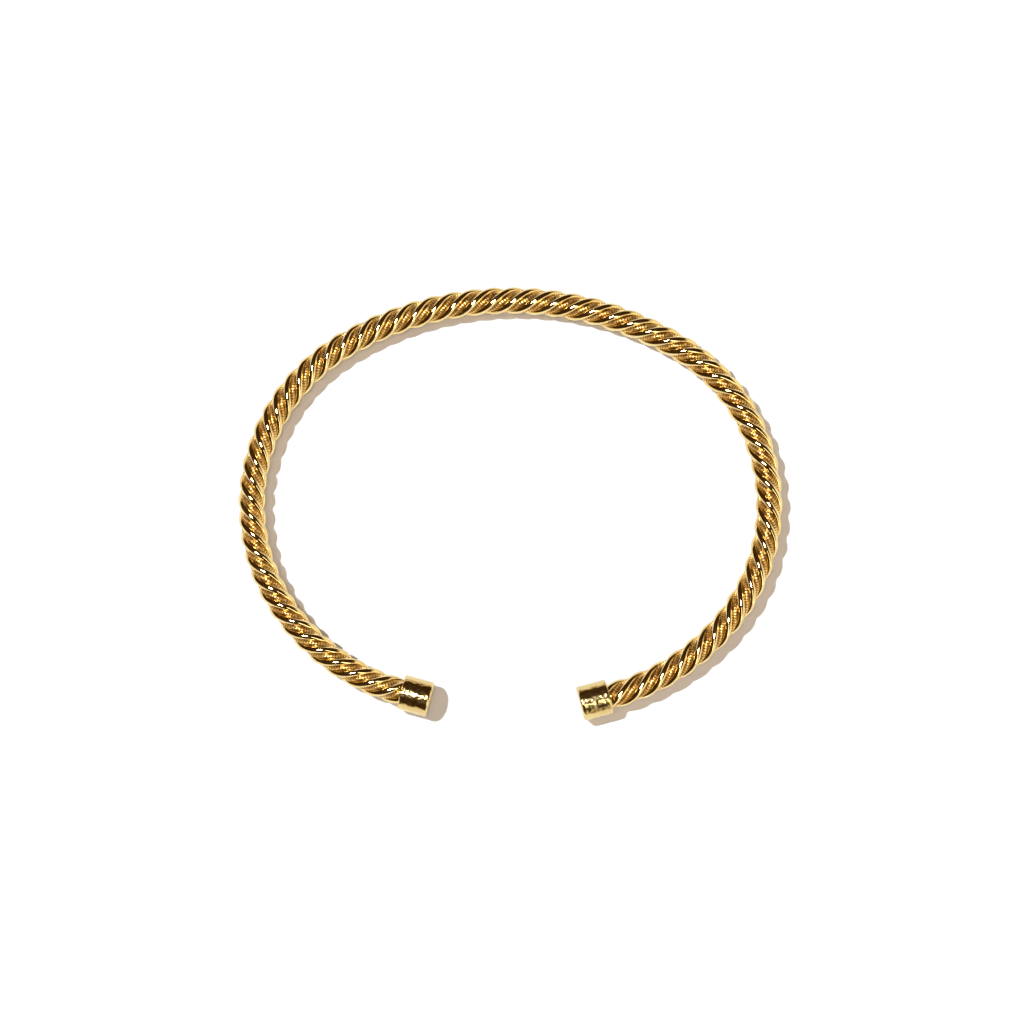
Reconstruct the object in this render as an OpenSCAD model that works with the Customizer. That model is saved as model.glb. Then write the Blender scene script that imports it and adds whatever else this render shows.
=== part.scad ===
// Torque bangle: an open oval wrist bangle of twisted wire rope with two end caps.
// Four smooth wires and four fine milled wires are twisted round a core wire,
// and each rope end is seated in the socket of a plain round cap.
// The bangle lies on a surface at Z = 0: +Z is up and the gap faces -Y.

/* [Wrist opening] */
// Width of the oval across the wrist, inside the rope
inner_w = 60; // [54:0.5:68]

/* [Wires] */
// Diameter of each smooth wire
plain_wire_d = 0.87; // [0.75:0.01:1.1]
// Diameter of each milled wire, in the groove between two smooth wires
milled_wire_d = 0.48; // [0.3:0.01:0.55]
// Length of rope in which the twist turns once, on average
lay_len = 9.75; // [9:0.05:14]
// How much nearer to the core the milled wires lie than the smooth ones
milled_drop = 0.06; // [0:0.01:0.12]

/* [End caps] */
// Length of a cap, from its mouth to its flat end
cap_len = 3.7; // [3:0.1:8]
// Wall of a cap, round its socket
cap_wall = 0.43; // [0.3:0.01:0.8]
// Thickness of a cap's closed end
cap_end_t = 0.6; // [0.4:0.05:1.2]
// Rounding of the edge at a cap's flat end
cap_edge_r = 0.34; // [0.1:0.01:0.4]
// Rounding of the edge at a cap's mouth
cap_mouth_r = 0.2; // [0.05:0.01:0.25]

/* [Fits] */
// Clearance beside each wire in the rope
wire_gap = 0.035; // [0.03:0.005:0.06]
// Clearance between the rope and the wall of a socket
seat_gap = 0.05; // [0.03:0.01:0.1]
// Clearance between the rope's end and the bottom of a socket
end_gap = 0.05; // [0.02:0.01:0.2]

/* [Hidden] */
NODES = [
    "core_wire",
    "plain_wire_1", "plain_wire_2", "plain_wire_3", "plain_wire_4",
    "milled_wire_1", "milled_wire_2", "milled_wire_3", "milled_wire_4",
    "end_cap_left", "end_cap_right"
];

// All nodes but the core and the caps are wires, half of them smooth and half milled.
// Wires of each kind in the rope, and the angle from one to the next:
other_nodes = 3;
wires = (len(NODES) - other_nodes) / 2;
wire_step = 360 / wires;
// Angle of the first smooth wire at the rope's left end, from straight up
first_wire_deg = 36;

// The rope is bent from left to right over the back, seen from above.
// Columns: radius as a share of the left side's, degrees turned.
BEND_R = 0;
BEND_TURN = 1;
bends = [
    [1.118, 42.2], // left front
    [1.000, 91.6], // left side
    [1.748, 62.8], // back
    [0.996, 99.2], // right side
    [1.241, 34.1]  // right front
];

// The twist is closer in some stretches than in others.
// Columns: share of the rope's length, twist there as a share of the average.
TWIST_AT = 0;
TWIST_RATE = 1;
twist = [
    [0.00, 0.97],
    [0.10, 0.99],
    [0.22, 1.08],
    [0.34, 1.02],
    [0.46, 0.98],
    [0.64, 0.99],
    [0.72, 0.97],
    [0.84, 0.97],
    [1.00, 0.87]
];

// Facets of the wires
plain_sides = 8;
milled_sides = 6;
rings_per_turn = 8.5;
// Facets of what is truly round
wire_fn = 48;
cap_fn = 96;
bend_fn = 192;
// Points on each bend, and along the rope, from which its box is worked out
bend_points = 12;
outline_points = 120;

// Every other leg of the core is a hair thinner and reaches into its neighbours,
// so that the legs are one solid
join_step = 0.01;
join_reach = 0.1;
// How far a cut runs past the face that it opens
cut_past = 1;

function sum(v, i = 0) = i < len(v) ? v[i] + sum(v, i + 1) : 0;
function along(heading, d) = d * [cos(heading), sin(heading)];
// Where a leg ends that starts at p: straight for d, or bent to the right at radius r by a
function bent(p, heading, r, a) =
    p + r * [sin(heading) - sin(heading - a), cos(heading - a) - cos(heading)];

// The oval's middle line, with the left side's radius taken as 1
total_turn = sum([for (row = bends) row[BEND_TURN]]);
start_heading = 180 - (360 - total_turn) / 2;
unit_starts = [
    for (i = 0, p = [0, 0], h = start_heading;
         i < len(bends);
         p = bent(p, h, bends[i][BEND_R], bends[i][BEND_TURN]), h = h - bends[i][BEND_TURN], i = i + 1)
    [p, h]
];
unit_x = [
    for (i = [0:len(bends) - 1]) for (k = [0:bend_points])
    let (part_turn = bends[i][BEND_TURN] * k / bend_points)
    bent(unit_starts[i][0], unit_starts[i][1], bends[i][BEND_R], part_turn)[0]
];
unit_w = max(unit_x) - min(unit_x);

// Smooth and milled wires take turns round the core. Side by side they fill a ring
// of chords between their centres, also where the twist is closest and where
// the tightest bend squeezes it on the inside.
last_twist = len(twist) - 1;
closest_twist = max([for (row = twist) row[TWIST_RATE]]);
tightest_bend = min([for (row = bends) row[BEND_R]]) * inner_w / unit_w;
layer_w = wires * (plain_wire_d + milled_wire_d + 2 * wire_gap);
closest_lay = lay_len / closest_twist * (1 - layer_w / (2 * PI) / tightest_bend);
layer_round = layer_w / sqrt(1 - pow(layer_w / closest_lay, 2));
plain_at_r = layer_round / (4 * wires * sin(wire_step / 4));
milled_at_r = plain_at_r - milled_drop;
rope_r = plain_at_r + plain_wire_d / 2;
// A straight facet of a wire comes nearer to the core than its ends do
facet_sag = cos(180 / rings_per_turn * closest_twist);
core_r = plain_at_r * facet_sag - plain_wire_d / 2 - wire_gap;
bend_unit = (inner_w + 2 * rope_r) / unit_w;

socket_r = rope_r + seat_gap;
socket_depth = cap_len - cap_end_t;
cap_r = socket_r + cap_wall;
rope_in_cap = socket_depth - end_gap;

// The rope's legs: a straight end in the left cap, the bends, and one in the right cap.
// Columns: length, radius (0 is straight), degrees turned.
LEG_LEN = 0;
LEG_R = 1;
LEG_TURN = 2;
end_leg = [rope_in_cap, 0, 0];
legs = concat(
    [end_leg],
    [for (row = bends)
        [row[BEND_R] * bend_unit * row[BEND_TURN] * PI / 180, row[BEND_R] * bend_unit, row[BEND_TURN]]],
    [end_leg]
);
rope_len = sum([for (leg = legs) leg[LEG_LEN]]);

function leg_point(p, h, leg, d) =
    leg[LEG_R] == 0 ? p + along(h, d) : bent(p, h, leg[LEG_R], leg[LEG_TURN] * d / leg[LEG_LEN]);
function leg_heading(h, leg, d) = h - leg[LEG_TURN] * d / leg[LEG_LEN];

// Columns: start point, start heading, distance along the rope
START_P = 0;
START_H = 1;
START_S = 2;
starts = [
    for (i = 0, p = [0, 0], h = start_heading, s = 0;
         i < len(legs);
         p = leg_point(p, h, legs[i], legs[i][LEG_LEN]), h = h - legs[i][LEG_TURN],
         s = s + legs[i][LEG_LEN], i = i + 1)
    [p, h, s]
];
function leg_at(s, i = 0) =
    i == len(legs) - 1 || s < starts[i + 1][START_S] ? i : leg_at(s, i + 1);
function rope_point(s) =
    let (i = leg_at(s)) leg_point(starts[i][START_P], starts[i][START_H], legs[i], s - starts[i][START_S]);
function rope_heading(s) =
    let (i = leg_at(s)) leg_heading(starts[i][START_H], legs[i], s - starts[i][START_S]);

// Middle of the oval's box, from the rope and the outer corners of the caps
outline = [for (k = [0:outline_points]) rope_point(rope_len * k / outline_points)];
left_x = min([for (p = outline) p[0]]) - rope_r;
right_x = max([for (p = outline) p[0]]) + rope_r;
back_y = max([for (p = outline) p[1]]) + rope_r;
cap_overhang = end_gap + cap_end_t;
left_tip = rope_point(0) - along(start_heading, cap_overhang);
right_tip = rope_point(rope_len) + along(rope_heading(rope_len), cap_overhang);
tip_tilt = 180 - start_heading;
edge_in_y = cap_edge_r * sin(tip_tilt) - (cap_r - cap_edge_r) * cos(tip_tilt);
front_y = min(left_tip[1], right_tip[1]) + edge_in_y - cap_edge_r;
middle = [(left_x + right_x) / 2, (back_y + front_y) / 2];

// The caps are thicker than the rope, so the bangle leans back a little:
// it rests on the mouths of the caps and on the rope at the back.
mouth_y = (rope_point(rope_in_cap)[1] + rope_point(rope_len - rope_in_cap)[1]) / 2;
rest_y = back_y - rope_r;
lean = asin((cap_r - rope_r) / (rest_y - mouth_y));

// How close the twist is at the share u of the rope's length
function twist_rate(u, i = 0) =
    i == last_twist - 1 || u < twist[i + 1][TWIST_AT]
        ? let (t = (u - twist[i][TWIST_AT]) / (twist[i + 1][TWIST_AT] - twist[i][TWIST_AT]))
          twist[i][TWIST_RATE] * (1 - t) + twist[i + 1][TWIST_RATE] * t
        : twist_rate(u, i + 1);
// The twist up to the share u, as a share of what an even twist turns over the whole rope
function twist_before(u, i = 0) =
    i == last_twist || u <= twist[i][TWIST_AT] ? 0
        : let (end = min(u, twist[i + 1][TWIST_AT]))
          (end - twist[i][TWIST_AT]) * (twist[i][TWIST_RATE] + twist_rate(end, i)) / 2
          + twist_before(u, i + 1);
function twist_deg(s) = 360 * rope_len / lay_len * twist_before(s / rope_len);

// One ring of a wire, in the plane across the rope at s. The wire's round section
// is cut slantwise there, so its sides are carried on by the twist.
function wire_ring(s, at_r, r, sides, turn) =
    let (
        p = rope_point(s),
        h = rope_heading(s),
        lay_here = lay_len / twist_rate(s / rope_len),
        slant = atan(2 * PI * at_r / lay_here)
    ) [
        for (k = [0:sides - 1])
        let (
            out = at_r + r * cos(360 * k / sides),
            beside = r * sin(360 * k / sides),
            across = beside * cos(slant),
            a = turn + twist_deg(s) + 360 * beside * sin(slant) / lay_here + atan2(across, out),
            from_core = norm([out, across])
        ) [
            p[0] - from_core * sin(a) * sin(h),
            p[1] + from_core * sin(a) * cos(h),
            from_core * cos(a)
        ]
    ];

// A wire of the rope from end to end, as a tube of rings
module wire(at_r, d, sides, turn) {
    rings = round(twist_deg(rope_len) / 360 * rings_per_turn);
    points = [
        for (j = [0:rings])
        for (point = wire_ring(rope_len * j / rings, at_r, d / 2, sides, turn)) point
    ];
    left_end = [for (k = [sides - 1:-1:0]) k];
    right_end = [for (k = [0:sides - 1]) rings * sides + k];
    skin = [
        for (j = [0:rings - 1]) for (k = [0:sides - 1])
        let (a = j * sides + k, b = j * sides + (k + 1) % sides)
        each [[a, b, a + sides], [b, b + sides, a + sides]]
    ];
    polyhedron(points, concat([left_end], skin, [right_end]), convexity = 10);
}

// Puts what is drawn on the oval's middle line down on the surface
module laid() {
    translate([-middle[0], rest_y - middle[1], rope_r])
        rotate([-lean, 0, 0])
            translate([0, -rest_y, 0])
                children();
}

module plain_wire(number) {
    color("gold")
        laid() wire(plain_at_r, plain_wire_d, plain_sides, first_wire_deg + (number - 1) * wire_step);
}

module milled_wire(number) {
    color("darkgoldenrod")
        laid() wire(milled_at_r, milled_wire_d, milled_sides, first_wire_deg + (number - 0.5) * wire_step);
}

// The straight wire that the others are twisted round
module core_wire() {
    color("goldenrod")
        laid() for (i = [0:len(legs) - 1]) {
            p = starts[i][START_P];
            h = starts[i][START_H];
            r = legs[i][LEG_R];
            thin = i % 2;
            reach = thin * join_reach;
            wire_r = core_r - thin * join_step;
            if (r == 0)
                translate([p[0], p[1], 0])
                    rotate([0, 90, h])
                        translate([0, 0, -reach])
                            cylinder(h = legs[i][LEG_LEN] + 2 * reach, r = wire_r, $fn = wire_fn);
            else {
                over = reach / r * 180 / PI;
                translate([p[0] + r * sin(h), p[1] - r * cos(h), 0])
                    rotate([0, 0, h + 90 - legs[i][LEG_TURN] - over])
                        rotate_extrude(angle = legs[i][LEG_TURN] + 2 * over, $fn = bend_fn)
                            translate([r, 0]) circle(r = wire_r, $fn = wire_fn);
            }
        }
}

// Half section of a cap, with its mouth at the bottom
module cap_section() {
    difference() {
        union() {
            translate([0, cap_mouth_r]) square([cap_r, cap_len - cap_mouth_r - cap_edge_r]);
            square([cap_r - cap_mouth_r, cap_len - cap_edge_r]);
            square([cap_r - cap_edge_r, cap_len]);
            translate([cap_r - cap_mouth_r, cap_mouth_r]) circle(r = cap_mouth_r, $fn = wire_fn);
            translate([cap_r - cap_edge_r, cap_len - cap_edge_r]) circle(r = cap_edge_r, $fn = wire_fn);
        }
        translate([0, -cut_past]) square([socket_r, socket_depth + cut_past]);
    }
}

// A cap with its mouth at the point p, pointing along the heading h
module end_cap(p, h) {
    color("gold")
        laid() translate([p[0], p[1], 0])
            rotate([0, 90, h])
                rotate_extrude($fn = cap_fn) cap_section();
}

module end_cap_left() {
    end_cap(rope_point(rope_in_cap), start_heading + 180);
}

module end_cap_right() {
    end_cap(rope_point(rope_len - rope_in_cap), rope_heading(rope_len));
}

core_wire();
plain_wire(1);  // plain_wire_1
plain_wire(2);  // plain_wire_2
plain_wire(3);  // plain_wire_3
plain_wire(4);  // plain_wire_4
milled_wire(1);  // milled_wire_1
milled_wire(2);  // milled_wire_2
milled_wire(3);  // milled_wire_3
milled_wire(4);  // milled_wire_4
end_cap_left();
end_cap_right();
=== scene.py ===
from math import asin, cos, pi, radians, sin, sqrt

import bpy
from mathutils import Matrix, Vector


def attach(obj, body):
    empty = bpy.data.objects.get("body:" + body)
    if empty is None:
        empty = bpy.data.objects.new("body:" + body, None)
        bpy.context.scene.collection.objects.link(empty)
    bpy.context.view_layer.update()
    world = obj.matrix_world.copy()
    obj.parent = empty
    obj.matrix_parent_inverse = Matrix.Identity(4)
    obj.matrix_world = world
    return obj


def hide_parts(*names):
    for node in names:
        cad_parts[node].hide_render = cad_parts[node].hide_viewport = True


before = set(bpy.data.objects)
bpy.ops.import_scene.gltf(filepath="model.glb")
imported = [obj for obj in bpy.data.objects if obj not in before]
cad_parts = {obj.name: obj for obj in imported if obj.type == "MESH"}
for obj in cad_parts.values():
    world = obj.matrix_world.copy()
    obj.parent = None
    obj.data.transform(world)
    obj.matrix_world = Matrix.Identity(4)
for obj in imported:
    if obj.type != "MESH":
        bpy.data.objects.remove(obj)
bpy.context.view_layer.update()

mm = 0.001
scene = bpy.context.scene


# The rope's middle line: an open oval of five arcs with a straight end in each cap.
# Lengths are in millimetres until a mesh is made.
oval = {
    "innerWidth": 60.0,
    "arcs": [  # radius as a share of the left side's, degrees turned
        {"radius": 1.118, "turn": 42.2},  # left front
        {"radius": 1.000, "turn": 91.6},  # left side
        {"radius": 1.748, "turn": 62.8},  # back
        {"radius": 0.996, "turn": 99.2},  # right side
        {"radius": 1.241, "turn": 34.1},  # right front
    ],
    "samples": 400,  # points along the line, to find its box
    "arcSamples": 60,  # and along each arc, to find its width
}

# How the wires lie round the core. The twist is closer in some stretches than in others,
# so it has a short table of places along the rope, each with its rate of twist.
layer = {
    "wires": 4,
    "plainWidth": 0.87,
    "milledWidth": 0.48,
    "milledDrop": 0.06,
    "gap": 0.035,
    "lay": 9.75,
    "firstWire": 36.0,
    "twist": [  # share of the rope's length, rate
        (0.00, 0.97), (0.10, 0.99), (0.22, 1.08), (0.34, 1.02), (0.46, 0.98),
        (0.64, 0.99), (0.72, 0.97), (0.84, 0.97), (1.00, 0.87),
    ],
}

cap = {
    "length": 3.7,
    "wall": 0.43,
    "endThickness": 0.6,
    "edgeRound": 0.34,
    "mouthRound": 0.2,
    "lipRound": 0.08,
    "seatGap": 0.05,
    "endGap": 0.05,
    "sides": 160,
    "roundSegments": 7,
    "lipSegments": 3,
    "sharp": 35,  # in degrees: an edge that turns by more is shaded as a sharp one
    "slices": 22,
    "dentSize": 0.4,  # small dents in the outside, from one to the next
    "dentDepth": 0.045,
    "dentLevel": 0.6,  # the part of the depth that goes inwards
}


def arcEnd(x, y, heading, radius, turn):
    a, b = radians(heading), radians(heading - turn)
    return x + radius * (sin(a) - sin(b)), y + radius * (cos(b) - cos(a))


def workOutSizes():  # the rope's width and length, and the caps', from the dictionaries above
    arcs = oval["arcs"]
    turned = sum(arc["turn"] for arc in arcs)
    startHeading = 180 - (360 - turned) / 2
    x, y, heading, xs = 0.0, 0.0, startHeading, []
    steps = oval["arcSamples"]
    for arc in arcs:
        for k in range(steps + 1):
            xs.append(arcEnd(x, y, heading, arc["radius"], arc["turn"] * k / steps)[0])
        x, y = arcEnd(x, y, heading, arc["radius"], arc["turn"])
        heading -= arc["turn"]
    unitWidth = max(xs) - min(xs)

    closest = max(rate for share, rate in layer["twist"])
    tightestBend = min(arc["radius"] for arc in arcs) * oval["innerWidth"] / unitWidth
    around = layer["wires"] * (layer["plainWidth"] + layer["milledWidth"] + 2 * layer["gap"])
    closestLay = layer["lay"] / closest * (1 - around / (2 * pi) / tightestBend)
    ring = around / sqrt(1 - (around / closestLay) ** 2)
    plainAt = ring / (4 * layer["wires"] * sin(radians(90 / layer["wires"])))
    ropeRadius = plainAt + layer["plainWidth"] / 2
    unit = (oval["innerWidth"] + 2 * ropeRadius) / unitWidth
    socketDepth = cap["length"] - cap["endThickness"]
    ropeInCap = socketDepth - cap["endGap"]
    legs = [(ropeInCap, 0.0, 0.0)]
    for arc in arcs:
        radius = arc["radius"] * unit
        legs.append((radius * radians(arc["turn"]), radius, arc["turn"]))
    legs.append((ropeInCap, 0.0, 0.0))
    return {
        "startHeading": startHeading,
        "plainAt": plainAt,
        "milledAt": plainAt - layer["milledDrop"],
        "ropeRadius": ropeRadius,
        "socketRadius": ropeRadius + cap["seatGap"],
        "socketDepth": socketDepth,
        "capRadius": ropeRadius + cap["seatGap"] + cap["wall"],
        "ropeInCap": ropeInCap,
        "legs": legs,
        "ropeLength": sum(leg[0] for leg in legs),
    }


size = workOutSizes()


def ropeAt(s):  # place and heading on the flat oval, s along the rope
    x, y, heading = 0.0, 0.0, size["startHeading"]
    for length, radius, turn in size["legs"]:
        part = min(s, length)
        if radius:
            bend = turn * part / length
            nx, ny = arcEnd(x, y, heading, radius, bend)
        else:
            bend = 0.0
            nx, ny = x + part * cos(radians(heading)), y + part * sin(radians(heading))
        if s <= length:
            return nx, ny, heading - bend
        x, y, heading, s = nx, ny, heading - turn, s - length
    return x, y, heading


def placeOnTable():  # leans the flat oval, so that it rests on the caps' mouths and the back
    line = [ropeAt(size["ropeLength"] * k / oval["samples"]) for k in range(oval["samples"] + 1)]
    xs, ys = [p[0] for p in line], [p[1] for p in line]
    overhang = cap["endGap"] + cap["endThickness"]
    tips = []
    for place, sign in ((line[0], -1), (line[-1], 1)):
        tips.append(place[1] + sign * overhang * sin(radians(place[2])))
    tilt = radians(180 - size["startHeading"])
    frontY = min(tips) + cap["edgeRound"] * (sin(tilt) - 1)
    frontY -= (size["capRadius"] - cap["edgeRound"]) * cos(tilt)
    restY = max(ys)
    backY = restY + size["ropeRadius"]
    middleX, middleY = (min(xs) + max(xs)) / 2, (backY + frontY) / 2
    mouthY = (ropeAt(size["ropeInCap"])[1] + ropeAt(size["ropeLength"] - size["ropeInCap"])[1]) / 2
    lean = asin((size["capRadius"] - size["ropeRadius"]) / (restY - mouthY))
    put = Matrix.Translation((-middleX, restY - middleY, size["ropeRadius"]))
    put = put @ Matrix.Rotation(-lean, 4, "X") @ Matrix.Translation((0, -restY, 0))
    return Matrix.Scale(mm, 4) @ put


onTable = placeOnTable()


def twistRate(share):
    for (a, rateA), (b, rateB) in zip(layer["twist"], layer["twist"][1:]):
        if share <= b:
            return rateA + (rateB - rateA) * (share - a) / (b - a)
    return layer["twist"][-1][1]


def twistAt(s):  # degrees that the rope has twisted by s
    share, total = s / size["ropeLength"], 0.0
    for (a, rateA), (b, rateB) in zip(layer["twist"], layer["twist"][1:]):
        if share <= a:
            break
        end = min(share, b)
        total += (end - a) * (rateA + twistRate(end)) / 2
    return 360 * size["ropeLength"] / layer["lay"] * total


def strandPoint(s, at, turn):  # a point on a wire's middle line, in metres
    x, y, heading = ropeAt(s)
    a, h = radians(turn + twistAt(s)), radians(heading)
    return onTable @ Vector((x - at * sin(a) * sin(h), y + at * sin(a) * cos(h), at * cos(a)))


def clearSelection():
    if bpy.context.mode != "OBJECT":
        bpy.ops.object.mode_set(mode="OBJECT")
    bpy.ops.object.select_all(action="DESELECT")


def pickOnly(obj):
    clearSelection()
    obj.select_set(True)
    bpy.context.view_layer.objects.active = obj


def pickFaces(obj, wanted):  # wanted is asked of each face, in object mode
    bpy.ops.object.mode_set(mode="OBJECT")
    for v in obj.data.vertices:
        v.select = False
    for e in obj.data.edges:
        e.select = False
    for f in obj.data.polygons:
        f.select = wanted(f)
    bpy.ops.object.mode_set(mode="EDIT")
    bpy.ops.mesh.select_mode(type="FACE")


def pickEdges(obj, wanted):
    bpy.ops.object.mode_set(mode="OBJECT")
    for f in obj.data.polygons:
        f.select = False
    for v in obj.data.vertices:
        v.select = False
    for e in obj.data.edges:
        a, b = (obj.data.vertices[i].co for i in e.vertices)
        e.select = wanted(a, b)
    bpy.ops.object.mode_set(mode="EDIT")
    bpy.ops.mesh.select_mode(type="EDGE")


def applyModifier(obj, name):
    pickOnly(obj)
    bpy.ops.object.modifier_apply(modifier=name)


strandLine = {
    "pointsPerTurn": 72,
    "weld": 0.02,  # how near two rings are joined, as a share of the step from ring to ring
    "endReach": 0.1,  # how near the open end a point counts as on it, as a share too
}


def makeStrandLine(name, at, turn):  # the line that one wire follows, round the core
    clearSelection()
    bpy.ops.curve.primitive_nurbs_path_add(location=(0, 0, 0))
    line = bpy.context.object
    line.name = name
    data = line.data
    data.splines.clear()
    data.dimensions = "3D"
    data.twist_mode = "MINIMUM"
    count = round(twistAt(size["ropeLength"]) / 360 * strandLine["pointsPerTurn"])
    spline = data.splines.new("POLY")
    spline.points.add(count)
    for k, point in enumerate(spline.points):
        p = strandPoint(size["ropeLength"] * k / count, at, turn)
        point.co = (p.x, p.y, p.z, 1.0)
    return line


def bendAlong(piece, line):
    bend = piece.modifiers.new("bend", "CURVE")
    bend.object = line
    bend.deform_axis = "POS_X"
    applyModifier(piece, "bend")
    bpy.data.objects.remove(line)


def closeEnds(piece, low, high, near):  # fills the two open ends of a straight tube
    pickOnly(piece)
    for end in (low, high):
        pickEdges(piece, lambda a, b: abs(a.x - end) < near and abs(b.x - end) < near)
        bpy.ops.mesh.edge_face_add()
    bpy.ops.object.mode_set(mode="OBJECT")


plainWire = {
    "sides": 24,
    "step": 0.19,  # between rings along the wire
    "sharp": 60,  # in degrees, as for the caps
}


def makePlainWire(number):
    turn = layer["firstWire"] + (number - 1) * 360 / layer["wires"]
    line = makeStrandLine("plain_line_%d" % number, size["plainAt"], turn)
    length = line.data.splines[0].calc_length()
    count = round(length / (plainWire["step"] * mm))
    step = length / count
    clearSelection()
    bpy.ops.mesh.primitive_cylinder_add(vertices=plainWire["sides"],
                                        radius=layer["plainWidth"] / 2 * mm,
                                        depth=step, end_fill_type="NOTHING",
                                        location=(step / 2, 0, 0), rotation=(0, pi / 2, 0))
    wire = bpy.context.object
    wire.name = wire.data.name = "plain_wire_%d_round" % number
    bpy.ops.object.transform_apply(location=True, rotation=True, scale=True)
    finishWire(wire, line, length, step, count, plainWire["sharp"])
    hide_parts("plain_wire_%d" % number)
    return wire


milledWire = {
    "sides": 12,
    "pitch": 0.33,  # from one rib to the next
    "valley": 0.30,  # depth of the groove between two ribs, as a share of the wire's radius
    "crest": 0.48,  # length of a rib's top, as a share of the pitch
    "sharp": 32,
}


def makeMilledWire(number):
    turn = layer["firstWire"] + (number - 0.5) * 360 / layer["wires"]
    line = makeStrandLine("milled_line_%d" % number, size["milledAt"], turn)
    length = line.data.splines[0].calc_length()
    count = round(length / (milledWire["pitch"] * mm))
    pitch = length / count
    clearSelection()
    bpy.ops.mesh.primitive_cylinder_add(vertices=milledWire["sides"],
                                        radius=layer["milledWidth"] / 2 * mm * (1 - milledWire["valley"]),
                                        depth=pitch, end_fill_type="NOTHING",
                                        location=(pitch / 2, 0, 0), rotation=(0, pi / 2, 0))
    wire = bpy.context.object
    wire.name = wire.data.name = "milled_wire_%d_ribbed" % number
    bpy.ops.object.transform_apply(location=True, rotation=True, scale=True)
    bpy.ops.object.mode_set(mode="EDIT")
    bpy.ops.mesh.select_mode(type="EDGE")
    pickEdges(wire, lambda a, b: abs(a.x - b.x) > pitch / 2)
    bpy.ops.mesh.subdivide(number_cuts=2)
    bpy.ops.object.mode_set(mode="OBJECT")
    rise = 1 / (1 - milledWire["valley"])
    # the groove attribute marks the rings between the ribs, where the colour gets a painted shade
    groove = wire.data.attributes.new("groove", "FLOAT", "POINT")
    for v in wire.data.vertices:  # the two middle rings are the rib's top
        fromMiddle = v.co.x - pitch / 2
        if abs(fromMiddle) < pitch / 3:
            v.co.x = pitch / 2 + (1 if fromMiddle > 0 else -1) * pitch * milledWire["crest"] / 2
            v.co.y *= rise
            v.co.z *= rise
        else:
            groove.data[v.index].value = 1.0
    finishWire(wire, line, length, pitch, count, milledWire["sharp"])
    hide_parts("milled_wire_%d" % number)
    return wire


def finishWire(wire, line, length, step, count, sharp):
    row = wire.modifiers.new("row", "ARRAY")
    row.use_relative_offset = False
    row.use_constant_offset = True
    row.constant_offset_displace = (step, 0, 0)
    row.count = count
    row.use_merge_vertices = True
    row.merge_threshold = step * strandLine["weld"]
    applyModifier(wire, "row")
    closeEnds(wire, 0.0, length, step * strandLine["endReach"])
    bendAlong(wire, line)
    pickOnly(wire)
    bpy.ops.object.mode_set(mode="EDIT")
    bpy.ops.mesh.select_all(action="SELECT")
    bpy.ops.mesh.normals_make_consistent(inside=False)
    bpy.ops.object.mode_set(mode="OBJECT")
    bpy.ops.object.shade_smooth_by_angle(angle=radians(sharp))
    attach(wire, "root")


def roundEdges(width, segments):
    bpy.ops.mesh.bevel(offset=width * mm, segments=segments, profile=0.5, affect="EDGES")


def makeCap():  # one cap, standing on its mouth
    outer, socket = size["capRadius"] * mm, size["socketRadius"] * mm
    length, depth = cap["length"] * mm, size["socketDepth"] * mm
    near = 0.001 * mm
    clearSelection()
    bpy.ops.mesh.primitive_cylinder_add(vertices=cap["sides"], radius=outer, depth=length,
                                        location=(0, 0, length / 2))
    piece = bpy.context.object
    bpy.ops.object.transform_apply(location=True)

    # the socket: the mouth at z = 0 is inset by the wall and pushed in
    pickFaces(piece, lambda f: f.normal.z < -0.9)
    bpy.ops.mesh.inset(thickness=outer - socket, depth=0)
    bpy.ops.mesh.extrude_region_move(TRANSFORM_OT_translate={"value": (0, 0, depth)})

    # rounded edges at the closed end, the mouth and the lip of the socket
    def onRim(a, b):
        return min(a.xy.length, b.xy.length) > outer - 2 * near

    def onLip(a, b):
        return max(a.xy.length, b.xy.length) < socket + 2 * near

    pickEdges(piece, lambda a, b: min(a.z, b.z) > length - near and onRim(a, b))
    roundEdges(cap["edgeRound"], cap["roundSegments"])
    pickEdges(piece, lambda a, b: max(a.z, b.z) < near and onRim(a, b))
    roundEdges(cap["mouthRound"], cap["roundSegments"])
    pickEdges(piece, lambda a, b: max(a.z, b.z) < near and onLip(a, b))
    roundEdges(cap["lipRound"], cap["lipSegments"])

    # slices across the outside, so that its skin can be a little uneven
    bottom, top = cap["mouthRound"] * mm, length - cap["edgeRound"] * mm
    for k in range(1, cap["slices"]):
        pickFaces(piece, lambda f: abs(f.normal.z) < 0.1 and f.center.xy.length > outer * 0.97)
        z = bottom + (top - bottom) * k / cap["slices"]
        bpy.ops.mesh.bisect(plane_co=(0, 0, z), plane_no=(0, 0, 1))
    bpy.ops.object.mode_set(mode="OBJECT")
    bpy.ops.object.vertex_group_add()
    skin = [v.index for v in piece.data.vertices if v.co.xy.length > outer - cap["edgeRound"] * mm]
    piece.vertex_groups[0].add(skin, 1.0, "REPLACE")
    clouds = bpy.data.textures.new("cap_dents", "CLOUDS")
    clouds.noise_scale = cap["dentSize"] * mm
    clouds.noise_depth = 1
    dents = piece.modifiers.new("dents", "DISPLACE")
    dents.texture = clouds
    dents.vertex_group = piece.vertex_groups[0].name
    dents.strength = cap["dentDepth"] * mm
    dents.mid_level = cap["dentLevel"]
    applyModifier(piece, "dents")
    piece.vertex_groups.clear()
    bpy.ops.object.shade_smooth_by_angle(angle=radians(cap["sharp"]))
    return piece


def copyOf(piece):
    copy = piece.copy()
    copy.data = piece.data.copy()
    bpy.context.collection.objects.link(copy)
    return copy


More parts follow.
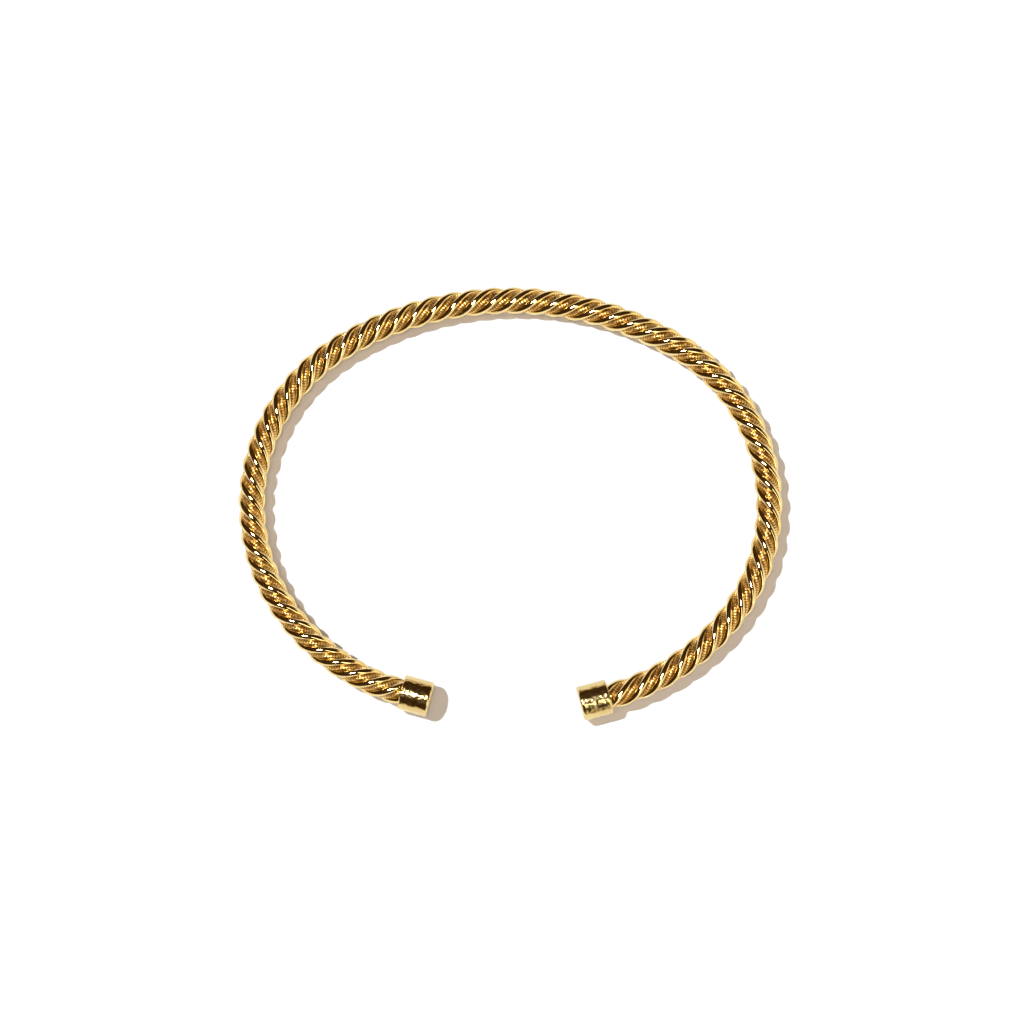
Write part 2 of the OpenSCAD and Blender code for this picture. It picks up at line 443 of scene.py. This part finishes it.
def fitCap(piece, name, node, s, turn):  # puts a cap on the rope's end, with its mouth at s
    piece.name = piece.data.name = name
    x, y, heading = ropeAt(s)
    along = Matrix.Rotation(radians(heading + turn), 4, "Z") @ Matrix.Rotation(pi / 2, 4, "Y")
    piece.matrix_world = onTable @ Matrix.Translation((x, y, 0)) @ along @ Matrix.Scale(1 / mm, 4)
    pickOnly(piece)
    bpy.ops.object.transform_apply(location=True, rotation=True, scale=True)
    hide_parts(node)
    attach(piece, "root")


# Finishes

def newMaterial(name):
    mat = bpy.data.materials.new(name)
    mat.use_nodes = True
    nodes, links = mat.node_tree.nodes, mat.node_tree.links
    return mat, nodes, links, nodes["Principled BSDF"]


# Where in a noise's range the change lies, and how fine its smallest parts are.
noiseKinds = {
    "patches": {"low": 0.35, "high": 0.65, "detail": 3},
    "haze": {"low": 0.3, "high": 0.7, "detail": 4},
    "waves": {"detail": 2},
}


def objectNoise(nodes, links, scale, kind):
    coords = nodes.new("ShaderNodeTexCoord")
    noise = nodes.new("ShaderNodeTexNoise")
    noise.inputs["Scale"].default_value = scale
    noise.inputs["Detail"].default_value = kind["detail"]
    links.new(coords.outputs["Object"], noise.inputs["Vector"])
    return noise


def makeGold(name, finish):
    mat, nodes, links, gold = newMaterial(name)
    gold.inputs["Metallic"].default_value = 1.0

    # colour: a little redder where the plate is thin
    patches = objectNoise(nodes, links, finish["patchScale"], noiseKinds["patches"])
    tint = nodes.new("ShaderNodeValToRGB")
    low, high = tint.color_ramp.elements
    low.position, high.position = noiseKinds["patches"]["low"], noiseKinds["patches"]["high"]
    low.color, high.color = (*finish["deep"], 1), (*finish["bright"], 1)
    links.new(patches.outputs["Fac"], tint.inputs["Fac"])
    colour = tint.outputs["Color"]
    if "groove" in finish:  # painted shade, darker between the ribs
        depth = nodes.new("ShaderNodeAttribute")
        depth.attribute_name = "groove"
        # mixes a painted shade into the colour, by the groove attribute
        grooveShade = nodes.new("ShaderNodeMix")
        grooveShade.data_type = "RGBA"
        grooveShade.inputs["B"].default_value = (*finish["groove"], 1)
        links.new(depth.outputs["Fac"], grooveShade.inputs["Factor"])
        links.new(colour, grooveShade.inputs["A"])
        colour = grooveShade.outputs["Result"]
    links.new(colour, gold.inputs["Base Color"])

    # polish: rougher in small clouds
    haze = objectNoise(nodes, links, finish["hazeScale"], noiseKinds["haze"])
    spread = nodes.new("ShaderNodeMapRange")
    spread.inputs["From Min"].default_value = noiseKinds["haze"]["low"]
    spread.inputs["From Max"].default_value = noiseKinds["haze"]["high"]
    spread.inputs["To Min"].default_value = finish["roughness"][0]
    spread.inputs["To Max"].default_value = finish["roughness"][1]
    links.new(haze.outputs["Fac"], spread.inputs["Value"])
    links.new(spread.outputs["Result"], gold.inputs["Roughness"])

    # fine scratches and small waves in the skin
    waves = objectNoise(nodes, links, finish["waveScale"], noiseKinds["waves"])
    bump = nodes.new("ShaderNodeBump")
    bump.inputs["Strength"].default_value = finish["waveStrength"]
    bump.inputs["Distance"].default_value = finish["waveDepth"] * mm
    links.new(waves.outputs["Fac"], bump.inputs["Height"])
    links.new(bump.outputs["Normal"], gold.inputs["Normal"])
    return mat


plainFinish = {
    "deep": (0.79, 0.575, 0.235),
    "bright": (0.86, 0.67, 0.31),
    "patchScale": 350,
    "hazeScale": 1500,
    "roughness": (0.05, 0.11),
    "waveScale": 2200,
    "waveStrength": 0.25,
    "waveDepth": 0.012,
}
milledFinish = {
    "deep": (0.92, 0.55, 0.16),
    "bright": (1.0, 0.70, 0.25),
    # painted shade: the colour between the ribs
    "groove": (0.22, 0.08, 0.015),
    "patchScale": 500,
    "hazeScale": 2500,
    "roughness": (0.25, 0.36),
    "waveScale": 6000,
    "waveStrength": 0.3,
    "waveDepth": 0.01,
}
capFinish = {
    "deep": (0.68, 0.485, 0.19),
    "bright": (0.75, 0.575, 0.25),
    "patchScale": 500,
    "hazeScale": 2600,
    "roughness": (0.07, 0.22),
    "waveScale": 3200,
    "waveStrength": 0.6,
    "waveDepth": 0.012,
}
coreFinish = {
    "deep": (0.55, 0.30, 0.08),
    "bright": (0.70, 0.42, 0.13),
    "patchScale": 400,
    "hazeScale": 2000,
    "roughness": (0.25, 0.4),
    "waveScale": 3000,
    "waveStrength": 0.2,
    "waveDepth": 0.01,
}


def giveMaterial(obj, mat):
    obj.data.materials.clear()
    obj.data.materials.append(mat)


plainGold = makeGold("polished_gold_wire", plainFinish)
milledGold = makeGold("milled_gold_wire", milledFinish)
capGold = makeGold("polished_gold_cap", capFinish)
coreGold = makeGold("drawn_core_wire", coreFinish)

for number in range(1, layer["wires"] + 1):
    giveMaterial(makePlainWire(number), plainGold)
    giveMaterial(makeMilledWire(number), milledGold)
print("rope: the wires are laid")

leftCap = makeCap()
giveMaterial(leftCap, capGold)
rightCap = copyOf(leftCap)
fitCap(leftCap, "end_cap_left_shell", "end_cap_left", size["ropeInCap"], 180)
fitCap(rightCap, "end_cap_right_shell", "end_cap_right", size["ropeLength"] - size["ropeInCap"], 0)
print("caps: both are on")

giveMaterial(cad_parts["core_wire"], coreGold)


# Table, light and camera

studio = {
    "tableSize": 3.0,
    "tableColour": (0.92, 0.92, 0.92),
    "tableRoughness": 0.9,
    "keyFrom": (-0.438, 0.190, 0.879),  # towards the light
    "keyAngle": 3.0,  # how wide the light looks, in degrees
    "keyStrength": 3.7,
    "keyColour": (0.76, 0.88, 1.0),
    "lensLightFrom": (-0.06, -0.10, 0.99),  # from beside the lens
    "lensLightStrength": 0.66,
    "lensLightColour": (1.0, 0.77, 0.63),
    "lensLightAngle": 18.0,
    "glintFrom": (-0.22, 0.02, 0.975),
    "glintStrength": 3.8,
    "glintAngle": 19.0,
    "skyDark": 0.05,  # brightness of the room overhead
    "skyColour": (1.0, 0.50, 0.18),
    "horizonBright": 0.95,
    "horizonColour": (1.0, 0.88, 0.70),
    "horizonTop": (0.03, 0.17),  # where it fades, as the sine of the elevation
    "gapFrom": (-0.94, 0.34, 0.0),  # a part of the horizon is dark
    "gapWidth": (0.72, 0.93),
    "wallBright": 1.32,  # a pale wall to the right
    "wallColour": (1.0, 0.93, 0.76),
    "wallFrom": (0.940, -0.342, 0.0),
    "wallWidth": (0.48, 0.78),
    "wallBottom": (0.08, 0.18),
    "wallTop": (0.42, 0.56),
}

# A tall narrow softbox, whose reflection is the fine streak on each strand.
softbox = {
    "from": (0.36, -0.58, 0.73),
    "distance": 0.6,
    "width": 0.11,
    "height": 0.56,
    "radiance": 3.4,
    "colour": (1.0, 0.97, 0.90),
}


def makeTable():
    clearSelection()
    bpy.ops.mesh.primitive_plane_add(size=studio["tableSize"], location=(0, 0, 0))
    table = bpy.context.object
    table.name = "table"
    mat, nodes, links, paper = newMaterial("white_table")
    paper.inputs["Base Color"].default_value = (*studio["tableColour"], 1)
    paper.inputs["Roughness"].default_value = studio["tableRoughness"]
    giveMaterial(table, mat)


def makeSun(name, towards, strength, colour, angle):
    clearSelection()
    bpy.ops.object.light_add(type="SUN", location=Vector(towards) * 0.5)
    sun = bpy.context.object
    sun.name = name
    sun.data.energy = strength
    sun.data.color = colour
    sun.data.angle = radians(angle)
    sun.rotation_mode = "QUATERNION"
    sun.rotation_quaternion = Vector(towards).to_track_quat("Z", "Y")
    return sun


def makeSoftbox():
    clearSelection()
    towards = Vector(softbox["from"]).normalized()
    bpy.ops.object.light_add(type="AREA", location=towards * softbox["distance"])
    box = bpy.context.object
    box.name = "softbox"
    box.data.shape = "RECTANGLE"
    box.data.size = softbox["width"]
    box.data.size_y = softbox["height"]
    box.data.energy = softbox["radiance"] * pi * softbox["width"] * softbox["height"]
    box.data.color = softbox["colour"]
    box.rotation_mode = "QUATERNION"
    box.rotation_quaternion = towards.to_track_quat("Z", "Y")


def fadeBetween(nodes, links, value, ends, start, end):
    fade = nodes.new("ShaderNodeMapRange")
    fade.interpolation_type = "SMOOTHSTEP"
    fade.inputs["From Min"].default_value = ends[0]
    fade.inputs["From Max"].default_value = ends[1]
    fade.inputs["To Min"].default_value = start
    fade.inputs["To Max"].default_value = end
    links.new(value, fade.inputs["Value"])
    return fade.outputs["Result"]


def product(nodes, links, a, b):
    times = nodes.new("ShaderNodeMath")
    times.operation = "MULTIPLY"
    links.new(a, times.inputs[0])
    links.new(b, times.inputs[1])
    return times.outputs["Value"]


def facing(nodes, links, coords, direction):  # 1 straight that way, 0 square to it
    dot = nodes.new("ShaderNodeVectorMath")
    dot.operation = "DOT_PRODUCT"
    dot.inputs[1].default_value = direction
    links.new(coords.outputs["Generated"], dot.inputs[0])
    return dot.outputs["Value"]


def makeWorld():
    world = bpy.data.worlds.new("studio")
    scene.world = world
    world.use_nodes = True
    nodes, links = world.node_tree.nodes, world.node_tree.links
    coords = nodes.new("ShaderNodeTexCoord")
    split = nodes.new("ShaderNodeSeparateXYZ")
    links.new(coords.outputs["Generated"], split.inputs["Vector"])
    height = split.outputs["Z"]

    # overhead dark, with a brighter horizon
    sky = nodes["Background"]
    sky.inputs["Color"].default_value = (*studio["skyColour"], 1)
    sky.inputs["Strength"].default_value = studio["skyDark"]
    horizon = nodes.new("ShaderNodeBackground")
    horizon.inputs["Color"].default_value = (*studio["horizonColour"], 1)
    glow = fadeBetween(nodes, links, height, studio["horizonTop"], studio["horizonBright"], 0.0)
    facingGap = facing(nodes, links, coords, studio["gapFrom"])
    gap = fadeBetween(nodes, links, facingGap, studio["gapWidth"], 1.0, 0.0)
    links.new(product(nodes, links, glow, gap), horizon.inputs["Strength"])

    # the wall: as wide as a part of the horizon, with a lower and an upper edge
    facingWall = facing(nodes, links, coords, studio["wallFrom"])
    across = fadeBetween(nodes, links, facingWall, studio["wallWidth"], 0.0, studio["wallBright"])
    above = fadeBetween(nodes, links, height, studio["wallBottom"], 0.0, 1.0)
    below = fadeBetween(nodes, links, height, studio["wallTop"], 1.0, 0.0)
    wall = nodes.new("ShaderNodeBackground")
    wall.inputs["Color"].default_value = (*studio["wallColour"], 1)
    band = product(nodes, links, above, below)
    links.new(product(nodes, links, across, band), wall.inputs["Strength"])

    first = nodes.new("ShaderNodeAddShader")
    second = nodes.new("ShaderNodeAddShader")
    links.new(sky.outputs["Background"], first.inputs[0])
    links.new(horizon.outputs["Background"], first.inputs[1])
    links.new(first.outputs["Shader"], second.inputs[0])
    links.new(wall.outputs["Background"], second.inputs[1])
    links.new(second.outputs["Shader"], nodes["World Output"].inputs["Surface"])


camera = {
    "elevation": 82.5,
    "distance": 0.50,
    "roll": 0.1,
    "mmPerPixel": 0.1229,
    "aimPixel": (510.4, 504.3),  # where the frame's origin lies in the photo
    "picture": 1024,
    "sensor": 36.0,
}


def makeCamera():
    clearSelection()
    e = radians(camera["elevation"])
    back = Vector((0, -cos(e), sin(e)))
    bpy.ops.object.camera_add(location=back * camera["distance"])
    eye = bpy.context.object
    eye.name = "eye"
    eye.rotation_mode = "QUATERNION"
    aim = (-back).to_track_quat("-Z", "Y")
    roll = Matrix.Rotation(radians(camera["roll"]), 4, "Z").to_quaternion()
    eye.rotation_quaternion = aim @ roll
    across = camera["picture"] * camera["mmPerPixel"] * mm
    eye.data.sensor_width = camera["sensor"]
    eye.data.lens = camera["sensor"] * camera["distance"] / across
    eye.data.clip_start = 0.01
    eye.data.clip_end = 10
    half = camera["picture"] / 2
    eye.data.shift_x = (half - camera["aimPixel"][0]) / camera["picture"]
    eye.data.shift_y = (camera["aimPixel"][1] - half) / camera["picture"]
    scene.camera = eye


makeTable()
key = makeSun("key", studio["keyFrom"], studio["keyStrength"], studio["keyColour"], studio["keyAngle"])
key.visible_glossy = False  # it gives the shadow, and no spot on the gold
lensLight = makeSun("lens_light", studio["lensLightFrom"], studio["lensLightStrength"],
                    studio["lensLightColour"], studio["lensLightAngle"])
lensLight.visible_glossy = False  # it lightens the shadow
glint = makeSun("glint", studio["glintFrom"], studio["glintStrength"], (1, 1, 1), studio["glintAngle"])
glint.visible_diffuse = False  # it gives the white spots on the gold
makeSoftbox()
makeWorld()
makeCamera()
scene.view_settings.view_transform = "Standard"
scene.view_settings.look = "None"
print("studio: table, lights and camera are set")
